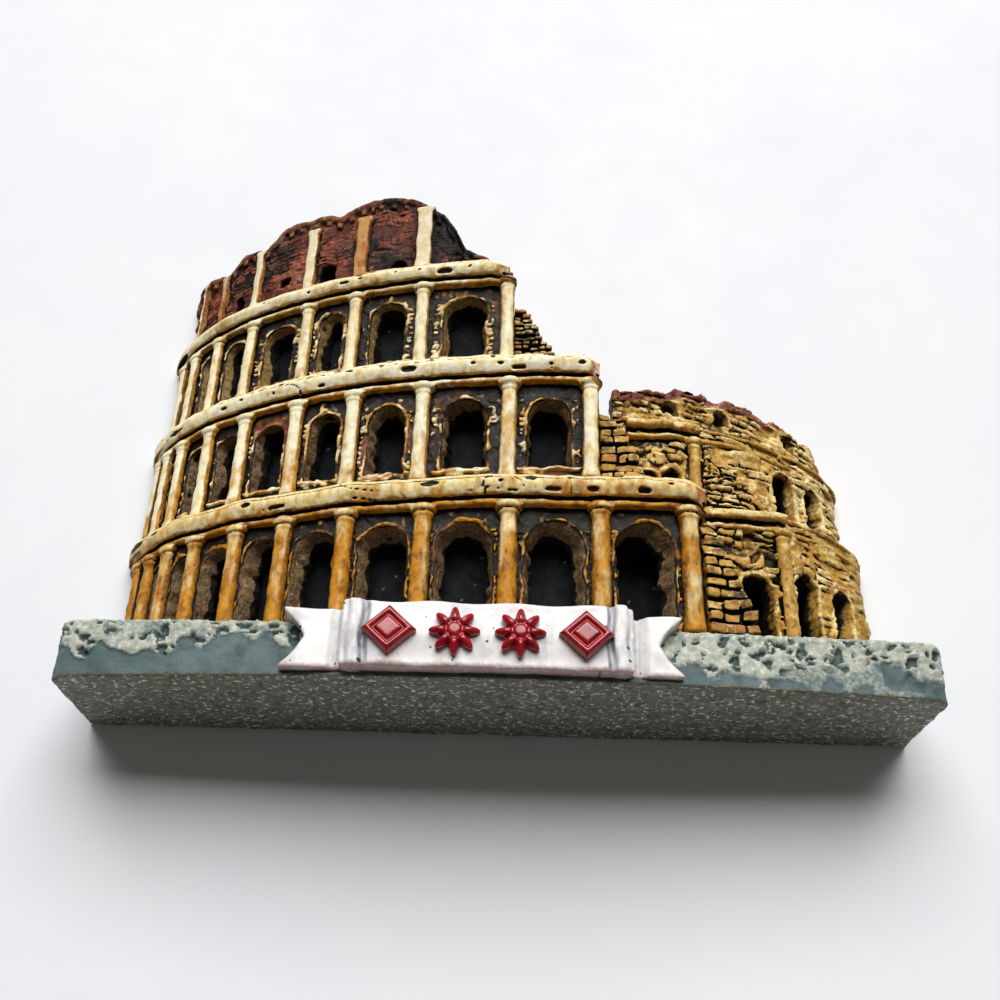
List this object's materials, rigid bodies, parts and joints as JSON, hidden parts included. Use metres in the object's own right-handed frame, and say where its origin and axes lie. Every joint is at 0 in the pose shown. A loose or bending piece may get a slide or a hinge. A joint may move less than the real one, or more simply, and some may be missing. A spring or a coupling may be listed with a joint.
{
  "type": "landmark relief fridge magnet",
  "caption": "Cast resin fridge magnet: a painted relief of a ruined oval amphitheatre on a slab base with a plain ribbon banner.",
  "frame": {"origin": "centre of the bounding box in X and Y, on the flat back at Z = 0", "axes": "+X along the base to the viewer's right, +Y up the building, +Z out of the relief from its flat back"},
  "size_m": [0.08, 0.0606, 0.0181],
  "materials": {
    "slate_paint": "slate-blue paint on cast resin, pitted, pale on the high spots",
    "shadow_paint": "near-black wash over brown resin",
    "ochre_paint": "ochre and brown hand-painted stone, dark in the recesses",
    "brick_paint": "maroon brick with dark joints and dry-brushed edges",
    "cream_paint": "cream dry-brushed over ochre, satin",
    "ribbon_paint": "satin white with small dark specks",
    "red_enamel": "glossy deep red",
    "ferrite": "sintered dark grey ferrite, dull",
    "clear_glue": "set yellowish adhesive"
  },
  "bodies": {
    "root": {"base_slab": "slate_paint", "facade_core": "shadow_paint", "inner_core": "shadow_paint", "ground_arcade_wall": "ochre_paint", "second_arcade_wall": "ochre_paint", "third_arcade_wall": "ochre_paint", "attic_wall": "brick_paint", "ground_colonnade": "cream_paint", "second_colonnade": "cream_paint", "third_colonnade": "cream_paint", "attic_pilasters": "cream_paint", "inner_ground_wall": "ochre_paint", "inner_ground_cornice": "cream_paint", "inner_upper_wall": "ochre_paint", "inner_upper_cornice": "cream_paint", "inner_parapet": "brick_paint", "ground_rubble": "ochre_paint", "second_rubble": "ochre_paint", "third_brick_break": "brick_paint", "ribbon_panel": "ribbon_paint", "ribbon_tail_left": "ribbon_paint", "ribbon_tail_right": "ribbon_paint", "motif_1": "red_enamel", "motif_2": "red_enamel", "motif_3": "red_enamel", "motif_4": "red_enamel", "magnet_left": "ferrite", "magnet_right": "ferrite", "adhesive_left": "clear_glue", "adhesive_right": "clear_glue"}
  },
  "joints": []
}
